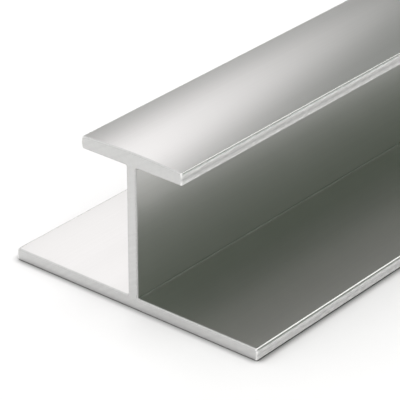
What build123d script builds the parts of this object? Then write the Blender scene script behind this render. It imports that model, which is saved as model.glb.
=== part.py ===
from build123d import *
import os

# Aluminium H-channel with unequal flanges: an extruded section that joins the edges of two boards.
# The wide flange is flat and goes against the structure, the narrow one is crowned and covers the joint.
# It lies on its wide flange. X runs across the flanges, Y along the bar and Z up the web.
# The origin is on the underside, at the middle of the width and of the length.

# Driving dimensions in millimetres

# The bar
stock_length = 1000.0  # length that the bar is sold in

# The slot on each side of the web
board_thickness = 16.0  # board that the slots take
board_play = 0.3  # room that lets the board slide in

# The section's walls
wide_flange_width = 35.5  # lower flange, which lies against the structure
wide_flange_wall = 1.5
narrow_flange_width = 14.5  # upper flange, which covers the joint
narrow_flange_wall = 1.5  # at its tips
narrow_flange_crown = 0.35  # rise of its rounded outer face at mid width
web_wall = 1.4

# The section's edges
tip_radius = 0.3  # long outer edges of both flanges, as the die rounds them
root_radius = 0.2  # inside corners where the web meets the flanges
end_break = 0.2  # edge broken by deburring after the saw cut

# Levels that follow from the walls
slot_height = board_thickness + board_play
slot_ceiling = wide_flange_wall + slot_height
tip_level = slot_ceiling + narrow_flange_wall

# The wide flange and the web are centred across the bar and stand on their own levels
on_level = (Align.CENTER, Align.MIN)

# The bar: one section drawn upright across its length, then pushed out to both ends
with BuildPart() as h_channel:
    with BuildSketch(Plane.XZ) as section:
        # A flat flange with rounded tips on the ground
        RectangleRounded(wide_flange_width, wide_flange_wall, tip_radius, align=on_level)

        # A narrower one over the slots, whose outer face is an arc from tip to tip
        with BuildLine():
            straight_edges = Polyline(
                (-narrow_flange_width / 2, tip_level),
                (-narrow_flange_width / 2, slot_ceiling),
                (narrow_flange_width / 2, slot_ceiling),
                (narrow_flange_width / 2, tip_level),
            )
            SagittaArc(straight_edges @ 0, straight_edges @ 1, narrow_flange_crown)
        make_face()
        tips = section.vertices(Select.LAST)
        fillet(tips, tip_radius)

        # The web between them, with its four roots rounded
        with Locations((0, wide_flange_wall)):
            Rectangle(web_wall, slot_height, align=on_level)
        roots = section.vertices(Select.LAST)
        fillet(roots, root_radius)
    extrude(amount=stock_length / 2, both=True)

    # Both saw cuts, with the burr taken off all round
    saw_cuts = h_channel.faces().filter_by(Axis.Y)
    chamfer(saw_cuts.edges(), end_break)

h_channel.part.label = "h_channel"

os.makedirs("parts", exist_ok=True)
export_step(h_channel.part, "parts/h_channel.step")
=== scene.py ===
from math import atan2, cos, pi, radians, sin, sqrt, tan

import bpy
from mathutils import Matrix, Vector


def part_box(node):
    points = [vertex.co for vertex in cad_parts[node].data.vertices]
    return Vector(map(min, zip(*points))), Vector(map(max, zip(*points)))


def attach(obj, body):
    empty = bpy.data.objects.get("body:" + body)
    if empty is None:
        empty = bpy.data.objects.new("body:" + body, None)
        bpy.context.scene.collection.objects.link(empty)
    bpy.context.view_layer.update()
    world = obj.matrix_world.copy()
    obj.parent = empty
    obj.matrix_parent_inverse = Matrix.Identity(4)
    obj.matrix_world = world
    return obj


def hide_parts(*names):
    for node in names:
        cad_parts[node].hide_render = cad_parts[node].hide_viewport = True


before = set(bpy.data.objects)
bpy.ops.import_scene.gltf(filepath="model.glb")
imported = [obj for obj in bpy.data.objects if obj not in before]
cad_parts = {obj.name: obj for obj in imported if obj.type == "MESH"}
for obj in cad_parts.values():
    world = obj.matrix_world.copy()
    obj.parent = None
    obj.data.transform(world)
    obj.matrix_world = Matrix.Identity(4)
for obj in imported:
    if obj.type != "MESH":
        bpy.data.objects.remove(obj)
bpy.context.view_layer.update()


# The bar
# One length of aluminium H-section, with a flat wide flange on the ground, a thin web and a narrow flange
# whose outer face is crowned. It is pushed hot through a die, stretched straight and satin anodised, then
# sawn square and deburred at both ends.

# Sizes in metres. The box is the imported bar's, and the crown is what stands above the narrow flange's tips
bar_low, bar_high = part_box("h_channel")
bar_length = bar_high.y - bar_low.y
wide_flange_width = bar_high.x - bar_low.x
wide_flange_wall = 0.0015
slot_height = 0.0163
narrow_flange_width = 0.0145
narrow_flange_wall = 0.0015
web_wall = 0.0014
tip_radius = 0.0003
root_radius = 0.0002
end_break = 0.0002

slot_ceiling = wide_flange_wall + slot_height
narrow_flange_crown = bar_high.z - slot_ceiling - narrow_flange_wall
narrow_flange_half = narrow_flange_width / 2
crown_radius = (narrow_flange_half ** 2 + narrow_flange_crown ** 2) / (2 * narrow_flange_crown)
crown_centre = bar_high.z - crown_radius

# How finely the mesh follows each arc, the broken end edge and the length, and how close two points are one
arc_steps = 8
break_steps = 4
station_gap = 0.04
same_point_gap = end_break / 100


def right_side_arcs(inset):
    """The outline's arcs from the ground up its right side, drawn in by an inset.

    Each is what it is, its centre, its radius, its first and last angle and which way it faces.
    """
    tip = tip_radius - inset
    root = root_radius + inset
    wide_tip = wide_flange_width / 2 - tip_radius
    narrow_tip = narrow_flange_half - tip_radius
    root_centre = web_wall / 2 + root_radius
    crown_tip = crown_centre + sqrt((crown_radius - tip_radius) ** 2 - narrow_tip ** 2)
    crown_start = atan2(crown_tip - crown_centre, narrow_tip)
    outward, inward = 1, -1
    return [
        ("lower tip", wide_tip, tip_radius, tip, -pi / 2, 0, outward),
        ("upper tip", wide_tip, wide_flange_wall - tip_radius, tip, 0, pi / 2, outward),
        ("root", root_centre, wide_flange_wall + root_radius, root, -pi / 2, -pi, inward),
        ("root", root_centre, slot_ceiling - root_radius, root, pi, pi / 2, inward),
        ("lower tip", narrow_tip, slot_ceiling + tip_radius, tip, -pi / 2, 0, outward),
        ("crown tip", narrow_tip, crown_tip, tip, 0, crown_start, outward),
        ("show face", 0, crown_centre, crown_radius - inset, crown_start, pi / 2, outward),
    ]


# How a flange's edge is scuffed, and rubbed bright with a painted highlight over the wear: where each
# fades out round the tips, as shares of the arc from the edge's flat, and how bright the flat's middle is
scuff_fade_shares = {"lower tip": (0.2, 0.6), "upper tip": (0.05, 0.5), "crown tip": (0.2, 0.6)}
rub_and_highlight_fade_shares = {"lower tip": (0.75, 1.0), "upper tip": (0.0, 0.5), "crown tip": (0.5, 0.75)}
mid_edge_rub_and_highlight_shares = {"upper tip": 0.65, "crown tip": 0.35}

# The narrow land that wear leaves on each upper tip, painted bright as a highlight: where it lies on the
# arc, and which way it faces
worn_highlight_land_shares = {"upper tip": (0.55, 0.9), "crown tip": (0.7, 0.9)}
worn_land_tilt = radians(66.6)

# How bright the deburring and a painted highlight leave the broken edges of the sawn ends, at least
deburred_rub_and_highlight_share = 0.26


def faded(share, fade):
    """1 up to where a fade starts and 0 from where it stops."""
    start, stop = fade
    return min(max((stop - share) / (stop - start), 0), 1)


def on_worn_highlight_land(kind, share):
    """Whether a share of an arc lies on the land that wear left there."""
    if kind not in worn_highlight_land_shares:
        return False
    start, stop = worn_highlight_land_shares[kind]
    return start < share < stop


def section_outline(inset):
    """Points round the section from mid underside.

    Each is its place, the way it faces, and four shares: how scuffed, how rubbed and painted bright, how
    darkened by painted root shade, and how finely finished it is there.
    """
    right_side = []
    for kind, centre_x, centre_z, radius, first, last, way in right_side_arcs(inset):
        fine = 1 if kind == "show face" else 0
        for step in range(arc_steps + 1):
            share = step / arc_steps
            angle = first + (last - first) * share
            spoke = Vector((cos(angle), sin(angle)))
            place = Vector((centre_x, centre_z)) + spoke * radius
            from_flat = 1 - share if kind == "lower tip" else share
            scuffed = faded(from_flat, scuff_fade_shares[kind]) if kind in scuff_fade_shares else 0
            rub_and_highlight = faded(from_flat, rub_and_highlight_fade_shares[kind]) if kind in rub_and_highlight_fade_shares else 0
            # On the worn land the facing turns and the colour is painted fully bright, a painted highlight
            if on_worn_highlight_land(kind, share):
                spoke = Vector((cos(worn_land_tilt), sin(worn_land_tilt)))
                rub_and_highlight = 1
            # Painted shade in the roots, darkest at the middle of each arc
            painted_root_shade = sin(pi * share) if kind == "root" else 0
            # A point at the middle of the edge's flat, painted bright as a highlight
            if kind in mid_edge_rub_and_highlight_shares and step == 0:
                mid_edge = (place + right_side[-1][0]) / 2
                right_side.append((mid_edge, spoke * way, 1, mid_edge_rub_and_highlight_shares[kind], 0, 0))
            if right_side and (place - right_side[-1][0]).length < same_point_gap:
                continue
            right_side.append((place, spoke * way, scuffed, rub_and_highlight, painted_root_shade, fine))
    mirror = Vector((-1, 1))
    left_side = []
    for place, facing, *shares in reversed(right_side[:-1]):
        left_side.append((place * mirror, facing * mirror, *shares))
    mid_underside = (Vector((0, inset)), Vector((0, -1)), 0, 0, 0, 0)
    return [mid_underside] + right_side + left_side


def bar_rings():
    """Rings from the near end to the far one.

    Each is its place along the bar, its inset, and how far it turns to face the end.
    """
    near_break = []
    for step in range(break_steps + 1):
        turn = step / break_steps * pi / 2
        near_break.append((end_break * (1 - cos(turn)), end_break * (1 - sin(turn)), -cos(turn)))
    far_break = [(bar_length - along, inset, -turned) for along, inset, turned in reversed(near_break)]
    stations = round(bar_length / station_gap)
    middle = [(bar_length * number / stations, 0, 0) for number in range(1, stations)]
    return near_break + middle + far_break


# Shares of the surface map that the long faces, each ring of a broken edge and the sawn ends take.
# The two ends lie one over the other beside the long faces
long_faces_share = 0.9
break_share = 0.001
sawn_ends_start_share = 0.91
sawn_ends_stop_share = 0.995
near_end_lift_share = 0.01
far_end_lift_share = 0.51
sawn_end_width_share = 0.48


def bar_mesh():
    """The whole bar with its facings, its surface map and the four shares that its finish, painted highlights
    and painted root shade follow.
    """
    points = []
    facings = []
    finish_shares = {"edge_scuff": [], "edge_rub_and_highlight": [], "root_painted_shade": [], "fine_finish": []}
    map_along = []
    rings = bar_rings()
    for number, (along, inset, turned) in enumerate(rings):
        sideways = sqrt(1 - turned ** 2)
        for place, facing, scuffed, rub_and_highlight, painted_root_shade, fine in section_outline(inset):
            points.append((place.x, bar_low.y + along, place.y))
            facings.append((facing.x * sideways, turned, facing.y * sideways))
            shares = (scuffed, rub_and_highlight, painted_root_shade, fine)
            # Broken end edges are scuffed, and painted at least this bright as a highlight
            if inset:
                shares = (1, max(rub_and_highlight, deburred_rub_and_highlight_share), 0, 0)
            for finish, share in zip(finish_shares.values(), shares):
                finish.append(share)
        from_near = number * break_share
        from_far = long_faces_share - (len(rings) - 1 - number) * break_share
        share_along = along / bar_length * long_faces_share
        map_along.append(min(max(share_along, from_near), from_far))

    outline = section_outline(0)
    count = len(outline)
    lengths = [0]
    for number in range(count):
        lengths.append(lengths[-1] + (outline[(number + 1) % count][0] - outline[number][0]).length)
    map_round = [length / lengths[-1] for length in lengths]

    faces = []
    surface_map = []
    for ring in range(len(rings) - 1):
        for number in range(count):
            here = ring * count + number
            beside = ring * count + (number + 1) % count
            faces.append((here, here + count, beside + count, beside))
            surface_map += [
                (map_along[ring], map_round[number]),
                (map_along[ring + 1], map_round[number]),
                (map_along[ring + 1], map_round[number + 1]),
                (map_along[ring], map_round[number + 1]),
            ]
    skin_indices = [0] * len(faces)
    near_end = list(range(count))
    far_end = [(len(rings) - 1) * count + number for number in reversed(range(count))]
    sawn_ends = [(near_end, near_end_lift_share), (far_end, far_end_lift_share)]
    sawn_indices = [1] * len(sawn_ends)
    for end, lift in sawn_ends:
        faces.append(end)
        for number in end:
            up = points[number][2] / bar_high.z
            right = (points[number][0] - bar_low.x) / wide_flange_width
            across = sawn_ends_start_share + (sawn_ends_stop_share - sawn_ends_start_share) * up
            surface_map.append((across, lift + sawn_end_width_share * right))

    mesh = bpy.data.meshes.new("h_channel_bar")
    mesh.from_pydata(points, [], faces)
    mesh.polygons.foreach_set("use_smooth", [True] * len(faces))
    mesh.polygons.foreach_set("material_index", skin_indices + sawn_indices)
    bake_map = mesh.uv_layers.new(name="OFBake")
    bake_map.data.foreach_set("uv", [share for pair in surface_map for share in pair])
    for name, shares in finish_shares.items():
        finish = mesh.attributes.new(name, "FLOAT", "POINT")
        finish.data.foreach_set("value", shares)
    mesh.normals_split_custom_set_from_vertices(facings)
    return mesh


bar = bpy.data.objects.new("h_channel_bar", bar_mesh())
bpy.context.scene.collection.objects.link(bar)


def new_node(tree, kind, inputs, **properties):
    """A node with its properties set, and each input given a value or joined to another node's output."""
    node = tree.nodes.new(kind)
    for name, value in properties.items():
        setattr(node, name, value)
    for name, value in inputs.items():
        if isinstance(value, bpy.types.NodeSocket):
            tree.links.new(value, node.inputs[name])
        else:
            node.inputs[name].default_value = value
    return node


# How detailed the grain is, and the values that its noise seldom passes
grain_detail = 2
grain_low = 0.3
grain_high = 0.7


def metal_grain_group():
    """Grain in the metal, as fine as its marks per metre along each axis.

    It shades, roughens and raises the surface.
    """
    group = bpy.data.node_groups.new("metal_grain", "ShaderNodeTree")
    sockets = group.interface
    sockets.new_socket("Marks Per Metre", in_out="INPUT", socket_type="NodeSocketVector")
    sockets.new_socket("Colour", in_out="INPUT", socket_type="NodeSocketColor")
    sockets.new_socket("Shade Depth", in_out="INPUT", socket_type="NodeSocketFloat")
    sockets.new_socket("Roughness", in_out="INPUT", socket_type="NodeSocketFloat")
    sockets.new_socket("Roughness Depth", in_out="INPUT", socket_type="NodeSocketFloat")
    sockets.new_socket("Colour", in_out="OUTPUT", socket_type="NodeSocketColor")
    sockets.new_socket("Roughness", in_out="OUTPUT", socket_type="NodeSocketFloat")
    sockets.new_socket("Height", in_out="OUTPUT", socket_type="NodeSocketFloat")
    given = new_node(group, "NodeGroupInput", {}).outputs
    place = new_node(group, "ShaderNodeTexCoord", {}).outputs["Object"]
    marks = new_node(
        group, "ShaderNodeVectorMath", {0: place, 1: given["Marks Per Metre"]}, operation="MULTIPLY"
    ).outputs[0]
    grain = new_node(
        group, "ShaderNodeTexNoise", {"Vector": marks, "Scale": 1, "Detail": grain_detail}
    ).outputs[0]
    swing = new_node(
        group, "ShaderNodeMapRange",
        {"Value": grain, "From Min": grain_low, "From Max": grain_high, "To Min": -1, "To Max": 1},
    ).outputs[0]
    shade = new_node(
        group, "ShaderNodeMath", {0: swing, 1: given["Shade Depth"], 2: 1}, operation="MULTIPLY_ADD"
    ).outputs[0]
    colour = new_node(
        group, "ShaderNodeVectorMath", {0: given["Colour"], "Scale": shade}, operation="SCALE"
    ).outputs[0]
    roughness = new_node(
        group, "ShaderNodeMath", {0: swing, 1: given["Roughness Depth"], 2: given["Roughness"]},
        operation="MULTIPLY_ADD",
    ).outputs[0]
    new_node(group, "NodeGroupOutput", {"Colour": colour, "Roughness": roughness, "Height": grain})
    return group


metal_grain = metal_grain_group()

# The skin as it leaves the die and the bath. The crowned outer face is finished finer than the slots
skin_colour = (0.672, 0.668, 0.655, 1)
slot_roughness = 0.31
show_face_roughness = 0.30

# Broad bands of flow and fine die lines, both drawn out along the bar
flow_bands_per_metre = (260, 1.5, 260)
flow_band_shade = 0.015
flow_band_roughening = 0.010
die_lines_per_metre = (3200, 6, 3200)
die_line_shade = 0.012
die_line_roughening = 0.010
die_line_height = 0.05e-6

# The edges, scuffed dull or rubbed bright under a painted highlight, and the roots beside the web, dull with
# painted shade
scuffed_colour = (0.530, 0.525, 0.523, 1)
scuffed_roughness = 0.75
scuffs_per_metre = (6000, 1200, 6000)
scuff_shade = 0.10
scuff_roughening = 0.04
# Bare metal rubbed through the skin, made brighter still as a painted highlight on the edges
rubbed_and_highlight_colour = (0.920, 0.912, 0.910, 1)
rubbed_roughness = 0.20
# The roots' darker colour is painted shade
root_painted_shade_colour = (0.38, 0.39, 0.37, 1)
root_roughness = 0.5


def satin_skin():
    """Satin anodised aluminium with die lines along it, worn and painted bright on its edges, and painted
    dark as shade in its roots.
    """
    material = bpy.data.materials.new("satin_skin")
    material.use_nodes = True
    tree = material.node_tree

    def mesh_share(name):
        return new_node(tree, "ShaderNodeAttribute", {}, attribute_name=name).outputs["Fac"]

    rub_and_highlight = mesh_share("edge_rub_and_highlight")
    painted_root_shade = mesh_share("root_painted_shade")
    finish_roughness = new_node(
        tree, "ShaderNodeMapRange",
        {"Value": mesh_share("fine_finish"), "To Min": slot_roughness, "To Max": show_face_roughness},
    ).outputs[0]
    face_roughness = new_node(
        tree, "ShaderNodeMix", {0: rub_and_highlight, 2: finish_roughness, 3: rubbed_roughness}
    ).outputs[0]
    face_colour = new_node(
        tree, "ShaderNodeMixRGB", {"Fac": rub_and_highlight, "Color1": skin_colour, "Color2": rubbed_and_highlight_colour}
    ).outputs[0]
    edge_colour = new_node(
        tree, "ShaderNodeMixRGB", {"Fac": rub_and_highlight, "Color1": scuffed_colour, "Color2": rubbed_and_highlight_colour}
    ).outputs[0]
    bands = new_node(
        tree, "ShaderNodeGroup",
        {
            "Marks Per Metre": flow_bands_per_metre, "Colour": face_colour, "Shade Depth": flow_band_shade,
            "Roughness": face_roughness, "Roughness Depth": flow_band_roughening,
        },
        node_tree=metal_grain,
    ).outputs
    lines = new_node(
        tree, "ShaderNodeGroup",
        {
            "Marks Per Metre": die_lines_per_metre, "Colour": bands["Colour"], "Shade Depth": die_line_shade,
            "Roughness": bands["Roughness"], "Roughness Depth": die_line_roughening,
        },
        node_tree=metal_grain,
    ).outputs
    scuffs = new_node(
        tree, "ShaderNodeGroup",
        {
            "Marks Per Metre": scuffs_per_metre, "Colour": edge_colour, "Shade Depth": scuff_shade,
            "Roughness": scuffed_roughness, "Roughness Depth": scuff_roughening,
        },
        node_tree=metal_grain,
    ).outputs
    edge_scuff = mesh_share("edge_scuff")
    scuffed = new_node(
        tree, "ShaderNodeMath", {0: edge_scuff, 1: scuffs["Height"], 2: edge_scuff},
        operation="MULTIPLY_ADD", use_clamp=True,
    ).outputs[0]
    worn_and_highlight_colour = new_node(
        tree, "ShaderNodeMixRGB", {"Fac": scuffed, "Color1": lines["Colour"], "Color2": scuffs["Colour"]}
    ).outputs[0]
    worn_roughness = new_node(
        tree, "ShaderNodeMix", {0: scuffed, 2: lines["Roughness"], 3: scuffs["Roughness"]}
    ).outputs[0]
    # The roots' colour is darkened as painted shade
    colour = new_node(
        tree, "ShaderNodeMixRGB", {"Fac": painted_root_shade, "Color1": worn_and_highlight_colour, "Color2": root_painted_shade_colour}
    ).outputs[0]
    roughness = new_node(
        tree, "ShaderNodeMix", {0: painted_root_shade, 2: worn_roughness, 3: root_roughness}
    ).outputs[0]
    raised = new_node(
        tree, "ShaderNodeBump", {"Strength": 1, "Distance": die_line_height, "Height": lines["Height"]}
    ).outputs[0]

    shader = tree.nodes["Principled BSDF"]
    shader.inputs["Metallic"].default_value = 1
    tree.links.new(colour, shader.inputs["Base Color"])
    tree.links.new(roughness, shader.inputs["Roughness"])
    tree.links.new(raised, shader.inputs["Normal"])
    return material


# The sawn ends, where the blade left faint arcs round its own centre
sawn_colour = (0.608, 0.609, 0.602, 1)
sawn_roughness = 0.32
saw_grain_per_metre = (1800, 1800, 1800)
saw_grain_shade = 0.02
saw_grain_roughening = 0.03
saw_centre = (0.055, 0, -0.09)
saw_arcs_per_metre = 2600
saw_arc_detail = 1
saw_arc_darkest = 0.95
saw_arc_brightest = 1.05
saw_arc_height = 0.8e-6


def sawn_aluminium():
    """Bare aluminium straight from a fine saw blade, with a grain of its own."""
    material = bpy.data.materials.new("sawn_aluminium")
    material.use_nodes = True
    tree = material.node_tree
    grain = new_node(
        tree, "ShaderNodeGroup",
        {
            "Marks Per Metre": saw_grain_per_metre, "Colour": sawn_colour, "Shade Depth": saw_grain_shade,
            "Roughness": sawn_roughness, "Roughness Depth": saw_grain_roughening,
        },
        node_tree=metal_grain,
    ).outputs
    place = new_node(tree, "ShaderNodeTexCoord", {}).outputs["Object"]
    on_cut = new_node(tree, "ShaderNodeVectorMath", {0: place, 1: (1, 0, 1)}, operation="MULTIPLY").outputs[0]
    from_centre = new_node(
        tree, "ShaderNodeVectorMath", {0: on_cut, 1: saw_centre}, operation="DISTANCE"
    ).outputs["Value"]
    arcs = new_node(
        tree, "ShaderNodeTexNoise",
        {"W": from_centre, "Scale": saw_arcs_per_metre, "Detail": saw_arc_detail},
        noise_dimensions="1D",
    ).outputs[0]
    shade = new_node(
        tree, "ShaderNodeMapRange", {"Value": arcs, "To Min": saw_arc_darkest, "To Max": saw_arc_brightest}
    ).outputs[0]
    colour = new_node(
        tree, "ShaderNodeVectorMath", {0: grain["Colour"], "Scale": shade}, operation="SCALE"
    ).outputs[0]
    raised = new_node(
        tree, "ShaderNodeBump", {"Strength": 1, "Distance": saw_arc_height, "Height": arcs}
    ).outputs[0]

    shader = tree.nodes["Principled BSDF"]
    shader.inputs["Metallic"].default_value = 1
    tree.links.new(colour, shader.inputs["Base Color"])
    tree.links.new(grain["Roughness"], shader.inputs["Roughness"])
    tree.links.new(raised, shader.inputs["Normal"])
    return material


bar.data.materials.append(satin_skin())
bar.data.materials.append(sawn_aluminium())
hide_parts("h_channel")
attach(bar, "root")


# The floor
# A wide sheet of matt white paper under the bar, which keeps the bar's soft shadow.
# Close to the bar its colour is darkened by a painted shadow, as it would dim in a tent of light where the
# bar hides half of the tent.
floor_half = 30.0
paper_white = (0.988, 0.972, 0.980)
contact_shadow_reach = 0.0009
contact_shadow_depth = 1.0
tent_shadow_reach = 0.012
tent_shadow_depth = 0.45
shadow_samples = 16

floor_corners = [
    (-floor_half, -floor_half, 0),
    (floor_half, -floor_half, 0),
    (floor_half, floor_half, 0),
    (-floor_half, floor_half, 0),
]
floor_mesh = bpy.data.meshes.new("floor")
floor_mesh.from_pydata(floor_corners, [], [(0, 1, 2, 3)])
floor = bpy.data.objects.new("floor", floor_mesh)
bpy.context.scene.collection.objects.link(floor)


def white_paper():
    """Matt white paper, whose colour is darkened by a painted shadow where the bar stands close over it."""
    material = bpy.data.materials.new("white_paper")
    material.use_nodes = True
    tree = material.node_tree

    def dimmed(colour, reach, depth):
        open_share = new_node(
            tree, "ShaderNodeAmbientOcclusion", {"Distance": reach}, samples=shadow_samples
        ).outputs["AO"]
        dimming = new_node(tree, "ShaderNodeMath", {0: open_share, 1: depth}, operation="POWER").outputs[0]
        return new_node(
            tree, "ShaderNodeVectorMath", {0: colour, "Scale": dimming}, operation="SCALE"
        ).outputs[0]

    # Both dimmings darken the paper's colour, a painted shadow
    in_tent = dimmed(paper_white, tent_shadow_reach, tent_shadow_depth)
    paper = dimmed(in_tent, contact_shadow_reach, contact_shadow_depth)
    shader = tree.nodes["Principled BSDF"]
    shader.inputs["Roughness"].default_value = 1
    shader.inputs["Specular IOR Level"].default_value = 0
    tree.links.new(paper, shader.inputs["Base Color"])
    return material


floor_mesh.materials.append(white_paper())


# The studio
# A big soft box stands at the left behind the bar, with two small lamps at its edge for the highlight on the
# crown. Three more behind pick out the long edges, and one wide lamp in front and above whitens the floor.
# The right side stays dim and a little green.
box_tint = (1.008, 0.978, 1.005)
panel_tint = (0.95, 1.16, 0.82)
plain_white = (1, 1, 1)
dim_room = (0.027, 0.043, 0.026, 1)


def soft_box(name, right, left, low, high, distance, brightness, colour):
    """An upright box of light between two azimuths, whose right edge stands between two elevations.

    These are in degrees, and azimuth turns from the bar's far end towards its left side. The distance is from
    the bar's near end, in metres.
    """
    middle = radians((right + left) / 2)
    half_width = distance * tan(radians(left - right) / 2)
    edge_distance = distance / cos(radians(left - right) / 2)
    bottom = edge_distance * tan(radians(low))
    top = edge_distance * tan(radians(high))
    light = bpy.data.lights.new(name, "AREA")
    light.shape = "RECTANGLE"
    light.color = colour
    light.size = 2 * half_width
    light.size_y = top - bottom
    light.energy = brightness * pi * light.size * light.size_y
    lamp = bpy.data.objects.new(name, light)
    lamp.location = (-distance * sin(middle), bar_low.y + distance * cos(middle), (bottom + top) / 2)
    lamp.rotation_euler = (radians(90), 0, middle + pi)
    lamp.visible_camera = False
    bpy.context.scene.collection.objects.link(lamp)


def soft_lamp(name, azimuth, elevation, spread, brightness, colour):
    """A soft disc of light far away, with its azimuth as for the box and its spread from its middle."""
    light = bpy.data.lights.new(name, "SUN")
    light.color = colour
    light.angle = radians(2 * spread)
    light.energy = brightness * pi * sin(radians(spread)) ** 2
    lamp = bpy.data.objects.new(name, light)
    lamp.rotation_euler = (radians(90 - elevation), 0, radians(azimuth + 180))
    bpy.context.scene.collection.objects.link(lamp)


soft_box("left_box", right=36, left=110, low=24.4, high=65, distance=3.0, brightness=1.10, colour=box_tint)
soft_lamp("key_heart", azimuth=40, elevation=27, spread=4, brightness=1.3, colour=box_tint)
soft_lamp("key_halo", azimuth=44, elevation=30, spread=5, brightness=1.45, colour=box_tint)
soft_lamp("key_edge", azimuth=22, elevation=32, spread=8, brightness=0.55, colour=plain_white)
soft_lamp("back_edge", azimuth=358, elevation=45, spread=8, brightness=1.15, colour=plain_white)
soft_lamp("back_corner", azimuth=340, elevation=46, spread=8, brightness=1.0, colour=plain_white)
soft_lamp("right_panel", azimuth=315, elevation=27, spread=26, brightness=0.065, colour=panel_tint)
soft_lamp("front_top", azimuth=176, elevation=57, spread=61, brightness=1.30, colour=plain_white)

world = bpy.data.worlds.new("studio")
bpy.context.scene.world = world
world.use_nodes = True
world.node_tree.nodes["Background"].inputs["Color"].default_value = dim_room


# The camera
# It looks down along the bar from the right of its near end, through a long lens.
# Lengths are in metres, apart from the lens and its sensor in millimetres, and angles are in degrees.
camera_right = 0.15614
camera_before_end = 0.1772
camera_height = 0.13913
camera_dip = 27.970
camera_turn = 39.564
lens_length = 219.89
sensor_width = 36.0
nearest_seen = 0.01

camera_data = bpy.data.cameras.new("camera")
camera_data.sensor_width = sensor_width
camera_data.lens = lens_length
camera_data.clip_start = nearest_seen
camera = bpy.data.objects.new("camera", camera_data)
camera.location = (camera_right, bar_low.y - camera_before_end, camera_height)
camera.rotation_euler = (radians(90 - camera_dip), 0, radians(camera_turn))
bpy.context.scene.collection.objects.link(camera)
bpy.context.scene.camera = camera
bpy.context.scene.view_settings.view_transform = "Standard"
